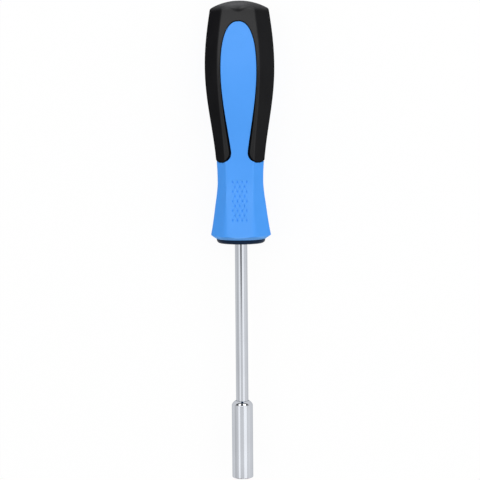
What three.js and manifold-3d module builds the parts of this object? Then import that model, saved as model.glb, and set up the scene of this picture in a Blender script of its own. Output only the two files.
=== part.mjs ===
// Bit holder screwdriver: a moulded handle on a round steel blade that ends in a magnetic holder for
// hexagon bits. Millimetres, +Z up. The tool lies along Y with its rear end at +Y and one window of the
// grip facing up. A station is a distance along the tool, counted from the top of the rear dome.

import * as THREE from 'three';
import { mergeVertices } from 'three/addons/utils/BufferGeometryUtils.js';
import Module from 'manifold-3d';

const wasm = await Module();
wasm.setup();

// Lengths along the tool, end to end
const rearToBelly = 31.2;
const bellyToNeck = 53.8;
const neckToGuard = 25.8;
const guardBevel = 1.8;
const guardLip = 0.8;
const collarLength = 1.9;
const bladeShowing = 76.9;
const sleeveLength = 37.8;

// Handle section, a rounded hexagon of three window sides and three lobe sides in turn.
// Half-widths run from the axis to the corners, before these are rounded.
const rearHalfWidth = 13.45;
const bellyHalfWidth = 16.65;
const guardHalfWidth = 14.7;
const gripFacetShare = 0.6;
const guardFacetShare = 0.48;
const flareBend = 0.4;
const cornerRound = 2.0;
const innerCornerRound = 0.5;

// Soft grip: rear dome, wall and the three tongues
const domeRadius = 25.4;
const rearRound = 1.2;
const rearRoundLength = 3.0;
const rearRoundAt = 5.6;
const gripThickness = 2.2;
const gripProud = 0.25;
const tongueRadius = 6.4;
const tongueToNeck = 8.25;

// Windows, the long openings of the grip that show the body
const windowTop = 10.4;
const windowArch = 22.7;
const windowArchPower = 2.5;
const windowHalfWidth = 8.5;
const windowEase = 12;
const windowSlope = 0.138;

// Inner core and its front collar
const coreRear = 26;
const coreWall = 1.0;
const coreRibCount = 6;
const coreRibHeight = 0.8;
const coreRibWidth = 1.8;
const coreRibMargin = 7;
const neckWall = 2.5;
const collarRadius = 11.7;
const collarRound = 1.4;
const bevelStep = 0.1;

// Blade and its winged tang
const bladeDiameter = 6.0;
const bladeChamfer = 0.5;
const tangRear = 38;
const wingAt = 50;
const wingLength = 16;
const wingTaper = 3.5;
const wingSpan = 8.4;
const wingThickness = 2.6;

// Holder: socket for hexagon bits, magnet and spring ring
const socketAcrossFlats = 6.45;
const socketDepth = 15.5;
const socketLeadIn = 0.3;
const magnetLength = 4.6;
const magnetProud = 0.3;
const magnetInset = 0.4;
const magnetChamfer = 0.3;
const ringWire = 0.8;
const ringLift = 0.075;
const ringFromMouth = 5.5;
const ringOpening = THREE.MathUtils.degToRad(40);
const grooveWall = 0.72;
const shoulderFlat = 0.75;
const shoulderRound = 0.5;
const mouthChamfer = 0.4;

// Clearances between neighbouring pieces
const seatGap = 0.3;
const pressGap = 0.1;

// Facet counts
const turnSteps = 32;
const cornerSteps = 3;
const arcSteps = 8;

const sixth = Math.PI / 3;
const sin60 = Math.sin(sixth);
const lobeTurns = [sixth, 3 * sixth, 5 * sixth];
const windowTurns = [0, 2 * sixth, 4 * sixth];

// Stations of the main features
const bellyAt = rearToBelly;
const neckAt = bellyAt + bellyToNeck;
const guardAt = neckAt + neckToGuard;
const bevelEndAt = guardAt + guardBevel;
const shellFrontAt = bevelEndAt + guardLip;
const collarFrontAt = shellFrontAt + collarLength;
const sleeveRearAt = collarFrontAt + bladeShowing;
const mouthAt = sleeveRearAt + sleeveLength;
const tongueStartAt = neckAt - tongueToNeck - tongueRadius;
const windowWidestAt = windowTop + windowArch;

// Sizes that follow from what sits inside
const bladeRadius = bladeDiameter / 2;
const stemRadius = wingSpan / 2 + seatGap + coreWall;
const neckApothem = stemRadius + coreRibHeight + seatGap + neckWall;
const neckHalfWidth = neckApothem * halfWidthPerApothem(gripFacetShare);
const socketApothem = socketAcrossFlats / 2;
const socketCorner = socketApothem / sin60;
const ringRadius = socketApothem + ringLift + ringWire / 2;
const grooveRadius = ringRadius + ringWire / 2 + seatGap;
const sleeveRadius = grooveRadius + grooveWall;
const magnetRadius = socketApothem - magnetInset;
const socketFloorAt = mouthAt - socketDepth;
const magnetFrontAt = socketFloorAt + magnetProud;
const magnetRearAt = magnetFrontAt - magnetLength;
const bladeFrontAt = magnetRearAt - pressGap;
const cutterReach = 2 * bellyHalfWidth;

// Mesh and solid helpers

function toSolid(geometry) {
  geometry.deleteAttribute('normal');
  geometry.deleteAttribute('uv');
  const merged = mergeVertices(geometry);
  const corners = merged.index.array;
  const kept = [];
  for (let i = 0; i < corners.length; i += 3) {
    const [a, b, c] = corners.slice(i, i + 3);
    if (a !== b && b !== c && c !== a) kept.push(a, b, c);
  }
  const vertProperties = new Float32Array(merged.attributes.position.array);
  return new wasm.Manifold(new wasm.Mesh({ numProp: 3, vertProperties, triVerts: new Uint32Array(kept) }));
}

function toMesh(name, solid, material) {
  const data = solid.getMesh();
  const geometry = new THREE.BufferGeometry();
  geometry.setAttribute('position', new THREE.BufferAttribute(data.vertProperties, 3));
  geometry.setIndex(new THREE.BufferAttribute(data.triVerts, 1));
  geometry.computeVertexNormals();
  const mesh = new THREE.Mesh(geometry, new THREE.MeshStandardMaterial(material));
  mesh.name = name;
  return mesh;
}

function joined(solids) {
  return solids.reduce((whole, solid) => whole.add(solid));
}

// A turned solid from [radius, station] points, listed from the rear to the front.
function turned(profile) {
  const points = profile.map(([radius, station]) => new THREE.Vector2(radius, -station)).reverse();
  return toSolid(new THREE.LatheGeometry(points, turnSteps));
}

// Quarter round of a turned profile between its side and its front face, as [radius, station] points.
function roundedEdge(radius, frontAt, round) {
  const steps = arcSteps / 2;
  return Array.from({ length: steps + 1 }, (_, i) => {
    const angle = ((Math.PI / 2) * i) / steps;
    return [radius - round + round * Math.cos(angle), frontAt - round + round * Math.sin(angle)];
  });
}

// An outline drawn over x and -station, pushed outwards from near the axis and turned about the axis.
function radialCutter(outline, turn) {
  const options = { depth: cutterReach, bevelEnabled: false, curveSegments: arcSteps };
  const geometry = new THREE.ExtrudeGeometry(outline, options);
  geometry.translate(0, 0, bladeRadius);
  geometry.rotateY(turn);
  return toSolid(geometry);
}

// Skin through rings with the same number of points, closed by a fan at each end.
function loft(rings) {
  const count = rings[0].length;
  const points = rings.flat();
  const rearCentre = points.push(new THREE.Vector3(0, rings[0][0].y, 0)) - 1;
  const frontCentre = points.push(new THREE.Vector3(0, rings[rings.length - 1][0].y, 0)) - 1;
  const lastRing = (rings.length - 1) * count;
  const faces = [];
  for (let j = 0; j < count; j++) {
    const next = (j + 1) % count;
    faces.push(rearCentre, j, next, frontCentre, lastRing + next, lastRing + j);
    for (let i = 0; i < lastRing; i += count) {
      faces.push(i + j, i + count + j, i + next, i + next, i + count + j, i + count + next);
    }
  }
  const geometry = new THREE.BufferGeometry().setFromPoints(points);
  geometry.setIndex(faces);
  return toSolid(geometry);
}

// Handle form

// Azimuth, from the middle of a window side, of that side's corner.
function cornerLean(facetShare) {
  return Math.atan2(facetShare * sin60, 1 - facetShare / 2);
}

function halfWidthPerApothem(facetShare) {
  const lean = cornerLean(facetShare);
  return Math.sin(2 * sixth - lean) / Math.cos(lean);
}

// Half-width along the handle: a sine rise to the belly, a cosine fall to the neck and a hyperbola that
// opens into the guard.
function halfWidthAt(station) {
  if (station <= bellyAt) {
    const rise = Math.sin((Math.PI / 2) * (station / bellyAt));
    return THREE.MathUtils.lerp(rearHalfWidth, bellyHalfWidth, rise);
  }
  if (station <= neckAt) {
    const fall = (1 - Math.cos((Math.PI * (station - bellyAt)) / bellyToNeck)) / 2;
    return THREE.MathUtils.lerp(bellyHalfWidth, neckHalfWidth, fall);
  }
  const along = (station - neckAt) / neckToGuard;
  const open = (Math.hypot(1, along / flareBend) - 1) / (Math.hypot(1, 1 / flareBend) - 1);
  return THREE.MathUtils.lerp(neckHalfWidth, guardHalfWidth, open);
}

// Distances from the axis to a window side and to a lobe side.
function apothemsAt(station) {
  const towardsGuard = THREE.MathUtils.clamp((station - neckAt) / neckToGuard, 0, 1);
  const facetShare = THREE.MathUtils.lerp(gripFacetShare, guardFacetShare, towardsGuard);
  const lean = cornerLean(facetShare);
  const corner = halfWidthAt(station) / Math.sin(2 * sixth - lean);
  return [corner * Math.cos(lean), corner * Math.cos(sixth - lean)];
}

// Rounded hexagon at a station, moved outwards by grow.
function sectionRing(station, grow) {
  const round = Math.max(cornerRound + grow, innerCornerRound);
  const centres = apothemsAt(station).map((apothem) => apothem + grow - round);
  const ring = [];
  for (let side = 0; side < 6; side++) {
    const here = centres[side % 2];
    const beyond = centres[(side + 1) % 2];
    const across = (beyond - here * Math.cos(sixth)) / sin60;
    const turn = side * sixth;
    const x = here * Math.sin(turn) + across * Math.cos(turn);
    const z = here * Math.cos(turn) - across * Math.sin(turn);
    for (let step = 0; step <= cornerSteps; step++) {
      const angle = turn + (sixth * step) / cornerSteps;
      ring.push(new THREE.Vector3(x + round * Math.sin(angle), -station, z + round * Math.cos(angle)));
    }
  }
  return ring;
}

// Stations from one end of a stretch to the other, at an even spacing.
function stationsBetween(from, to, steps) {
  return Array.from({ length: steps + 1 }, (_, i) => THREE.MathUtils.lerp(from, to, i / steps));
}

// Handle form from behind the dome to a station, with its rear edge drawn in and the dome turned on it.
function domedForm(grow, domeInset, endAt) {
  const drawnIn = (station) => {
    const along = THREE.MathUtils.clamp((rearRoundAt - station) / rearRoundLength, 0, 1);
    return rearRound * (1 - Math.sqrt(1 - along * along));
  };
  const stations = [
    -rearRound,
    ...stationsBetween(rearRoundAt - rearRoundLength, rearRoundAt, arcSteps / 2),
    ...stationsBetween(rearRoundAt, bellyAt, arcSteps / 2).slice(1),
    ...stationsBetween(bellyAt, endAt, arcSteps + 2).slice(1),
  ];
  const form = loft(stations.map((station) => sectionRing(station, grow - drawnIn(station))));
  const radius = domeRadius - domeInset;
  const dome = Array.from({ length: arcSteps + 1 }, (_, i) => {
    const angle = (sixth * i) / arcSteps;
    return [radius * Math.sin(angle), domeRadius - radius * Math.cos(angle)];
  });
  const domeEdgeAt = dome[arcSteps][1];
  return form.intersect(turned([...dome, [cutterReach, domeEdgeAt], [cutterReach, endAt], [0, endAt]]));
}

// Window outline: a superelliptic arch at the rear, then a taper to the waist between two tongues.
function windowOutline(gap) {
  const half = windowHalfWidth - gap;
  const arch = windowArch - gap;
  const edgeApothem = apothemsAt(tongueStartAt)[0] + gripProud;
  const waist = (edgeApothem * sin60 - tongueRadius - gap) / Math.cos(sixth);
  const taperEnd = tongueStartAt - windowEase;
  const runOutAt = tongueStartAt + tongueRadius / 2;
  const outline = new THREE.Shape();
  outline.moveTo(-waist, -runOutAt);
  outline.lineTo(-waist, -tongueStartAt);
  outline.bezierCurveTo(
    -waist - windowSlope * windowEase, -taperEnd,
    -half, -windowWidestAt - windowEase,
    -half, -windowWidestAt,
  );
  for (let i = 1; i < 2 * arcSteps; i++) {
    const angle = Math.PI - (Math.PI * i) / (2 * arcSteps);
    const across = Math.sign(Math.cos(angle)) * Math.abs(Math.cos(angle)) ** (2 / windowArchPower);
    outline.lineTo(half * across, arch * Math.sin(angle) ** (2 / windowArchPower) - windowWidestAt);
  }
  outline.lineTo(half, -windowWidestAt);
  outline.bezierCurveTo(
    half, -windowWidestAt - windowEase,
    waist + windowSlope * windowEase, -taperEnd,
    waist, -tongueStartAt,
  );
  outline.lineTo(waist, -runOutAt);
  return outline;
}

// Everything in front of the round end of a tongue, seen square to its lobe.
function tongueEndOutline(gap) {
  const outline = new THREE.Shape();
  outline.moveTo(-cutterReach, -tongueStartAt);
  outline.lineTo(-tongueRadius - gap, -tongueStartAt);
  outline.absarc(0, -tongueStartAt, tongueRadius + gap, Math.PI, 2 * Math.PI, false);
  outline.lineTo(cutterReach, -tongueStartAt);
  outline.lineTo(cutterReach, -collarFrontAt);
  outline.lineTo(-cutterReach, -collarFrontAt);
  return outline;
}

// The space of the bare body between the grip's edges, narrowed all round by gap.
function bareSpace(gap) {
  const windows = windowTurns.map((turn) => radialCutter(windowOutline(gap), turn));
  const ends = lobeTurns.map((turn) => radialCutter(tongueEndOutline(gap), turn));
  return joined([...windows, ...ends]);
}

// Pieces

function gripOvermould() {
  const outside = domedForm(gripProud, 0, neckAt);
  const inside = domedForm(gripProud - gripThickness, gripThickness, guardAt);
  return outside.subtract(inside).subtract(bareSpace(0));
}

function handleShell() {
  const seatDepth = gripThickness + seatGap;
  const seat = domedForm(gripProud - seatDepth, seatDepth, neckAt);
  const rings = [
    ...stationsBetween(windowTop, bellyAt, arcSteps / 2),
    ...stationsBetween(bellyAt, neckAt, arcSteps + 2).slice(1),
    ...stationsBetween(neckAt, guardAt, arcSteps).slice(1),
  ].map((station) => sectionRing(station, 0));
  const guard = rings[rings.length - 1];
  const bevelRadius = collarRadius + bevelStep;
  for (const station of [bevelEndAt, shellFrontAt]) {
    rings.push(guard.map(({ x, z }) => {
      const shrink = bevelRadius / Math.hypot(x, z);
      return new THREE.Vector3(x * shrink, -station, z * shrink);
    }));
  }
  const bare = loft(rings).intersect(bareSpace(seatGap));
  return seat.add(bare).subtract(coreStem(seatGap));
}

// Stem of the core with its ribs; grown by grow it is the bore that the body leaves for it.
function coreStem(grow) {
  const radius = stemRadius + grow;
  const rearAt = coreRear - grow;
  const stem = turned([[0, rearAt], [radius, rearAt], [radius, collarFrontAt], [0, collarFrontAt]]);
  const ribFrom = rearAt + coreRibMargin;
  const ribTo = shellFrontAt - coreRibMargin + grow;
  const ribs = Array.from({ length: coreRibCount }, (_, i) => {
    const reach = radius + coreRibHeight;
    const rib = new THREE.BoxGeometry(coreRibWidth + 2 * grow, ribTo - ribFrom, reach);
    rib.translate(0, -(ribFrom + ribTo) / 2, reach / 2);
    rib.rotateY((2 * Math.PI * i) / coreRibCount);
    return toSolid(rib);
  });
  return joined([stem, ...ribs]);
}

function handleCore() {
  const rearAt = shellFrontAt + seatGap / 2;
  const edge = roundedEdge(collarRadius, collarFrontAt, collarRound);
  const collar = turned([[0, rearAt], [collarRadius, rearAt], ...edge, [0, collarFrontAt]]);
  return coreStem(0).add(collar).subtract(bladeBody(pressGap));
}

// Blade with the wings pressed into its tang; grown by grow it is the bore that the core leaves for it.
function bladeBody(grow) {
  const radius = bladeRadius + grow;
  const rod = turned([
    [0, tangRear - grow],
    [radius - bladeChamfer, tangRear - grow],
    [radius, tangRear - grow + bladeChamfer],
    [radius, bladeFrontAt - bladeChamfer],
    [radius - bladeChamfer, bladeFrontAt],
    [0, bladeFrontAt],
  ]);
  const half = wingSpan / 2 + grow;
  const wing = new THREE.Shape();
  wing.moveTo(0, grow);
  wing.lineTo(half, -wingTaper + grow);
  wing.lineTo(half, wingTaper - wingLength - grow);
  wing.lineTo(0, -wingLength - grow);
  wing.lineTo(-half, wingTaper - wingLength - grow);
  wing.lineTo(-half, -wingTaper + grow);
  const depth = wingThickness + 2 * grow;
  const wings = new THREE.ExtrudeGeometry(wing, { depth, bevelEnabled: false });
  wings.translate(0, -wingAt, -depth / 2);
  return rod.add(toSolid(wings));
}

function holderSleeve() {
  const boreRadius = bladeRadius + pressGap;
  const flatRadius = boreRadius + shoulderFlat;
  const slope = sleeveRadius - flatRadius;
  const outside = turned([
    [0, sleeveRearAt],
    [flatRadius, sleeveRearAt],
    [sleeveRadius - shoulderRound / 2, sleeveRearAt + slope - shoulderRound / 2],
    [sleeveRadius, sleeveRearAt + slope + shoulderRound],
    [sleeveRadius, mouthAt - mouthChamfer],
    [sleeveRadius - mouthChamfer, mouthAt],
    [0, mouthAt],
  ]);
  const beforeRear = sleeveRearAt - seatGap;
  const pastMouth = mouthAt + seatGap;
  const bladeSeat = turned([
    [0, beforeRear],
    [boreRadius, beforeRear],
    [boreRadius, magnetRearAt],
    [0, magnetRearAt],
  ]);
  const pocketRadius = magnetRadius + seatGap;
  const magnetPocket = turned([
    [0, magnetRearAt - seatGap],
    [pocketRadius, magnetRearAt - seatGap],
    [pocketRadius, magnetFrontAt],
    [0, magnetFrontAt],
  ]);
  const socketLength = pastMouth - socketFloorAt;
  const socket = new THREE.CylinderGeometry(socketCorner, socketCorner, socketLength, 6);
  socket.translate(0, -socketFloorAt - socketLength / 2, 0);
  const leadRadius = socketCorner + socketLeadIn;
  const leadIn = turned([[0, mouthAt - leadRadius], [leadRadius + seatGap, pastMouth], [0, pastMouth]]);
  const grooveHalf = ringWire / 2 + seatGap;
  const ringAt = mouthAt - ringFromMouth;
  const groove = turned([
    [0, ringAt - grooveHalf],
    [grooveRadius, ringAt - grooveHalf],
    [grooveRadius, ringAt + grooveHalf],
    [0, ringAt + grooveHalf],
  ]);
  return outside.subtract(joined([bladeSeat, magnetPocket, toSolid(socket), leadIn, groove]));
}

function holderMagnet() {
  return turned([
    [0, magnetRearAt],
    [magnetRadius, magnetRearAt],
    [magnetRadius, magnetFrontAt - magnetChamfer],
    [magnetRadius - magnetChamfer, magnetFrontAt],
    [0, magnetFrontAt],
  ]);
}

// Path of the open spring ring, round the axis from one side of its opening to the other.
class RingPath extends THREE.Curve {
  getPoint(t, target = new THREE.Vector3()) {
    const angle = ringOpening / 2 + t * (2 * Math.PI - ringOpening);
    return target.set(ringRadius * Math.sin(angle), ringFromMouth - mouthAt, ringRadius * Math.cos(angle));
  }
}

function retainingRing() {
  const section = new THREE.Shape().absarc(0, 0, ringWire / 2, 0, 2 * Math.PI, false);
  return toSolid(new THREE.ExtrudeGeometry(section, {
    steps: turnSteps,
    curveSegments: arcSteps / 2,
    extrudePath: new RingPath(),
  }));
}

// Finishes
const bluePlastic = { color: 0x54a0fa, roughness: 0.42, metalness: 0 };
const softBlack = { color: 0x29292c, roughness: 0.7, metalness: 0 };
const hardBlack = { color: 0x1b1f26, roughness: 0.4, metalness: 0 };
const platedSteel = { color: 0xd0d3d8, roughness: 0.15, metalness: 1 };
const springSteel = { color: 0xa9abb0, roughness: 0.3, metalness: 1 };
const magnetPlating = { color: 0xb9bbbf, roughness: 0.25, metalness: 1 };

const tool = new THREE.Group();
tool.add(
  toMesh('handle_shell', handleShell(), bluePlastic),
  toMesh('grip_overmould', gripOvermould(), softBlack),
  toMesh('handle_core', handleCore(), hardBlack),
  toMesh('blade_shaft', bladeBody(0), platedSteel),
  toMesh('holder_sleeve', holderSleeve(), platedSteel),
  toMesh('holder_magnet', holderMagnet(), magnetPlating),
  toMesh('retaining_ring', retainingRing(), springSteel),
);

// The tool lies on the lobe side of its belly, with the middle of its length over the origin.
const lyingHeight = apothemsAt(bellyAt)[1] + gripProud;
tool.position.set(0, mouthAt / 2, lyingHeight);

export default tool;
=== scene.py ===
import math
import bmesh
import bpy
import numpy as np
from mathutils import Matrix, Vector


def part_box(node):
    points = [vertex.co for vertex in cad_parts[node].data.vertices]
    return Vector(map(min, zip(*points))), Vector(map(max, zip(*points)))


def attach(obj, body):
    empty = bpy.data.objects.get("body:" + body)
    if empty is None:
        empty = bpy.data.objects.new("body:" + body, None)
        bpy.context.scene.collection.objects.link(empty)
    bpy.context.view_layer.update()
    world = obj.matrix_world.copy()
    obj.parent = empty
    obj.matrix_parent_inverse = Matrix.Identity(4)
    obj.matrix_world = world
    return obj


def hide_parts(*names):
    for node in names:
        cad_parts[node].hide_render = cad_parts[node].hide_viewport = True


# Bit holder screwdriver lying on a white table. Shapes are worked out in millimetres along the tool,
# with station 0 at the rear dome, and go into the meshes in metres.

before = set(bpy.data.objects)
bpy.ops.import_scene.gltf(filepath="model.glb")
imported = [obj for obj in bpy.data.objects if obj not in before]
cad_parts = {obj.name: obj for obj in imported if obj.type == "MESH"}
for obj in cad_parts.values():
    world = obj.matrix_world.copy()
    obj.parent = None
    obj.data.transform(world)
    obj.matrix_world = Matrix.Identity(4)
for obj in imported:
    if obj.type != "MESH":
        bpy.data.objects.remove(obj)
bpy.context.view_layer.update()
print("frame loaded:", sorted(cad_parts))

mm = 0.001
tiny = 1e-6
weldDigits = 4
sixth = math.pi / 3
sin60, cos60 = math.sin(sixth), math.cos(sixth)
windowTurns = sixth * np.array([0, 2, 4])
lobeTurns = sixth * np.array([1, 3, 5])


def nodeBox(name):
    low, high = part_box(name)
    return np.array(low) / mm, np.array(high) / mm


gripBox, shellBox, coreBox = nodeBox("grip_overmould"), nodeBox("handle_shell"), nodeBox("handle_core")
bladeBox, sleeveBox = nodeBox("blade_shaft"), nodeBox("holder_sleeve")
magnetBox, ringBox = nodeBox("holder_magnet"), nodeBox("retaining_ring")

rearY = gripBox[1][1]
axisZ = (bladeBox[0][2] + bladeBox[1][2]) / 2
shellFrontAt = rearY - shellBox[0][1]
collarFrontAt = rearY - coreBox[0][1]
sleeveRearAt = rearY - sleeveBox[1][1]
mouthAt = rearY - sleeveBox[0][1]
collarRadius = (coreBox[1][0] - coreBox[0][0]) / 2
bladeRadius = (bladeBox[1][2] - bladeBox[0][2]) / 2
sleeveRadius = (sleeveBox[1][0] - sleeveBox[0][0]) / 2


def lerp(a, b, share):
    return a + (b - a) * share


# Cubic step from 0 to 1 between two values.
def smoothStep(low, high, value):
    share = np.clip((value - low) / (high - low), 0, 1)
    return share * share * (3 - 2 * share)


# Smaller of two values, with the kink between them rounded over a width.
def softMin(a, b, width):
    share = np.clip(0.5 + (b - a) / (2 * width), 0, 1)
    return lerp(b, a, share) - width * share * (1 - share)


# Point at an azimuth round the axis (from straight up towards +X), a station and a radius.
def axisPoint(azimuth, station, radius):
    across, up = radius * np.sin(azimuth), radius * np.cos(azimuth)
    across, along, up = np.broadcast_arrays(across, rearY - station, up)
    return np.stack([across, along, axisZ + up], -1)


# Points and faces of several point grids: neighbours in a grid make a quad, points that fall together
# become one, and quads that lose a corner become triangles.
def weldGrids(grids):
    points, quads, count = [], [], 0
    for grid in grids:
        rows, columns = grid.shape[:2]
        index = np.arange(rows * columns).reshape(rows, columns) + count
        corners = [index[:-1, :-1], index[1:, :-1], index[1:, 1:], index[:-1, 1:]]
        quads.append(np.stack(corners, -1).reshape(-1, 4))
        points.append(grid.reshape(-1, 3))
        count += rows * columns
    points, quads = np.concatenate(points), np.concatenate(quads)
    places = np.round(points, weldDigits) + 0.0
    _, first, same = np.unique(places, axis=0, return_index=True, return_inverse=True)
    points, quads = points[first], same.reshape(-1)[quads]
    following = np.roll(quads, -1, axis=1)
    merged = quads == following
    whole = quads[~merged.any(1)]
    single = merged.sum(1) == 1
    kept = ~merged[single]
    triangles = quads[single][kept].reshape(-1, 3)
    return points, whole.tolist() + triangles.tolist()


# Number of edges that don't have exactly two faces.
def countOpenEdges(mesh):
    edges = np.empty(len(mesh.loops), np.int32)
    mesh.loops.foreach_get("edge_index", edges)
    return np.count_nonzero(np.bincount(edges, minlength=len(mesh.edges)) != 2)


# One piece from its grids: welded, faces outward, smooth up to the sharp angle, and entered in the frame.
def makePiece(name, grids, body, node, material, sharpAngle=40):
    points, faces = weldGrids(grids)
    mesh = bpy.data.meshes.new(name)
    mesh.from_pydata((points * mm).tolist(), [], faces)
    work = bmesh.new()
    work.from_mesh(mesh)
    bmesh.ops.recalc_face_normals(work, faces=work.faces)
    work.to_mesh(mesh)
    work.free()
    mesh.polygons.foreach_set("use_smooth", np.ones(len(mesh.polygons), bool))
    mesh.set_sharp_from_angle(angle=math.radians(sharpAngle))
    mesh.materials.append(material)
    mesh.update()
    piece = bpy.data.objects.new(name, mesh)
    bpy.context.scene.collection.objects.link(piece)
    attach(piece, body)
    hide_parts(node)
    print(name, "faces:", len(mesh.polygons), "open edges:", countOpenEdges(mesh))


# Profile of (radius, station, round) corners, each rounded by a quadratic curve between points set back
# from the corner on both sides.
def roundedProfile(corners, steps=6):
    share = np.linspace(0, 1, steps + 1)[:, None]
    path = []
    for i, (radius, station, setback) in enumerate(corners):
        here = np.array([radius, station])
        if setback == 0 or i in (0, len(corners) - 1):
            path.append(here[None])
            continue
        before, after = np.array(corners[i - 1][:2]) - here, np.array(corners[i + 1][:2]) - here
        start = here + before / np.hypot(*before) * setback
        end = here + after / np.hypot(*after) * setback
        path.append((1 - share) ** 2 * start + 2 * share * (1 - share) * here + share**2 * end)
    return np.concatenate(path)


def fullTurn(steps):
    return np.linspace(0, 2 * np.pi, steps + 1)


# Turned surface: every (radius, station) point of a profile carried once round the axis.
def turnedGrid(profile, azimuth):
    return axisPoint(azimuth[None, :], profile[:, 1:], profile[:, :1])


# Materials

def addNode(tree, kind, values=None, **settings):
    node = tree.nodes.new(kind)
    for name, value in settings.items():
        setattr(node, name, value)
    for name, value in (values or {}).items():
        node.inputs[name].default_value = value
    return node


# Links between nodes, each given as a node, its output, the next node and its input.
def joinNodes(tree, *links):
    for source, output, target, socket in links:
        tree.links.new(source.outputs[output], target.inputs[socket])


def newGroup(name, inputs, outputs):
    tree = bpy.data.node_groups.new(name, "ShaderNodeTree")
    for socket, kind, value in inputs:
        made = tree.interface.new_socket(socket, in_out="INPUT", socket_type=kind)
        if value is not None:
            made.default_value = value
    for socket, kind in outputs:
        tree.interface.new_socket(socket, in_out="OUTPUT", socket_type=kind)
    return tree, tree.nodes.new("NodeGroupInput"), tree.nodes.new("NodeGroupOutput")


# Moulded grain: fine noise as a height, and wide noise as a mask of patches.
def makeGrainGroup():
    inputs = [("Vector", "NodeSocketVector", None), ("Scale", "NodeSocketFloat", 3000.0),
              ("Patch Scale", "NodeSocketFloat", 60.0)]
    outputs = [("Height", "NodeSocketFloat"), ("Patches", "NodeSocketFloat")]
    tree, given, put = newGroup("mouldedGrain", inputs, outputs)
    fine = addNode(tree, "ShaderNodeTexNoise", {"Detail": 2.0, "Roughness": 0.6})
    patches = addNode(tree, "ShaderNodeTexNoise", {"Detail": 4.0, "Roughness": 0.55})
    spread = addNode(tree, "ShaderNodeMapRange", {"From Min": 0.35, "From Max": 0.65}, clamp=True)
    joinNodes(
        tree,
        (given, "Vector", fine, "Vector"), (given, "Scale", fine, "Scale"),
        (given, "Vector", patches, "Vector"), (given, "Patch Scale", patches, "Scale"),
        (fine, "Fac", put, "Height"), (patches, "Fac", spread, "Value"), (spread, "Result", put, "Patches"),
    )
    return tree


# Polishing lines: noise drawn out in one direction, and a cloudy mask for handling marks.
def makePolishGroup():
    inputs = [("Vector", "NodeSocketVector", None), ("Stretch", "NodeSocketVector", (1.0, 0.02, 1.0)),
              ("Scale", "NodeSocketFloat", 4000.0), ("Cloud Scale", "NodeSocketFloat", 90.0)]
    outputs = [("Lines", "NodeSocketFloat"), ("Clouds", "NodeSocketFloat")]
    tree, given, put = newGroup("polishLines", inputs, outputs)
    drawn = addNode(tree, "ShaderNodeMapping")
    lines = addNode(tree, "ShaderNodeTexNoise", {"Detail": 3.0, "Roughness": 0.6})
    clouds = addNode(tree, "ShaderNodeTexNoise", {"Detail": 3.0, "Roughness": 0.5})
    spread = addNode(tree, "ShaderNodeMapRange", {"From Min": 0.35, "From Max": 0.7}, clamp=True)
    joinNodes(
        tree,
        (given, "Vector", drawn, "Vector"), (given, "Stretch", drawn, "Scale"),
        (drawn, "Vector", lines, "Vector"), (given, "Scale", lines, "Scale"),
        (given, "Vector", clouds, "Vector"), (given, "Cloud Scale", clouds, "Scale"),
        (lines, "Fac", put, "Lines"), (clouds, "Fac", spread, "Value"), (spread, "Result", put, "Clouds"),
    )
    return tree


# Painted highlight at an end: a smooth step along the tool between two places, made uneven by a mask.
def makePaintedHighlightGroup():
    inputs = [("Vector", "NodeSocketVector", None), ("Mask", "NodeSocketFloat", 1.0),
              ("Start", "NodeSocketFloat", 0.0), ("Full", "NodeSocketFloat", 1.0),
              ("Least", "NodeSocketFloat", 0.6)]
    tree, given, put = newGroup("paintedHighlightEnd", inputs, [("Highlight", "NodeSocketFloat")])
    split = addNode(tree, "ShaderNodeSeparateXYZ")
    rise = addNode(tree, "ShaderNodeMapRange", interpolation_type="SMOOTHSTEP")
    uneven = addNode(tree, "ShaderNodeMapRange")
    highlightAmount = addNode(tree, "ShaderNodeMath", operation="MULTIPLY")
    joinNodes(
        tree,
        (given, "Vector", split, "Vector"), (split, "Y", rise, "Value"),
        (given, "Start", rise, "From Min"), (given, "Full", rise, "From Max"),
        (given, "Mask", uneven, "Value"), (given, "Least", uneven, "To Min"),
        (rise, "Result", highlightAmount, 0), (uneven, "Result", highlightAmount, 1), (highlightAmount, "Value", put, "Highlight"),
    )
    return tree


grainGroup = makeGrainGroup()
polishGroup = makePolishGroup()
paintedHighlightGroup = makePaintedHighlightGroup()
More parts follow.
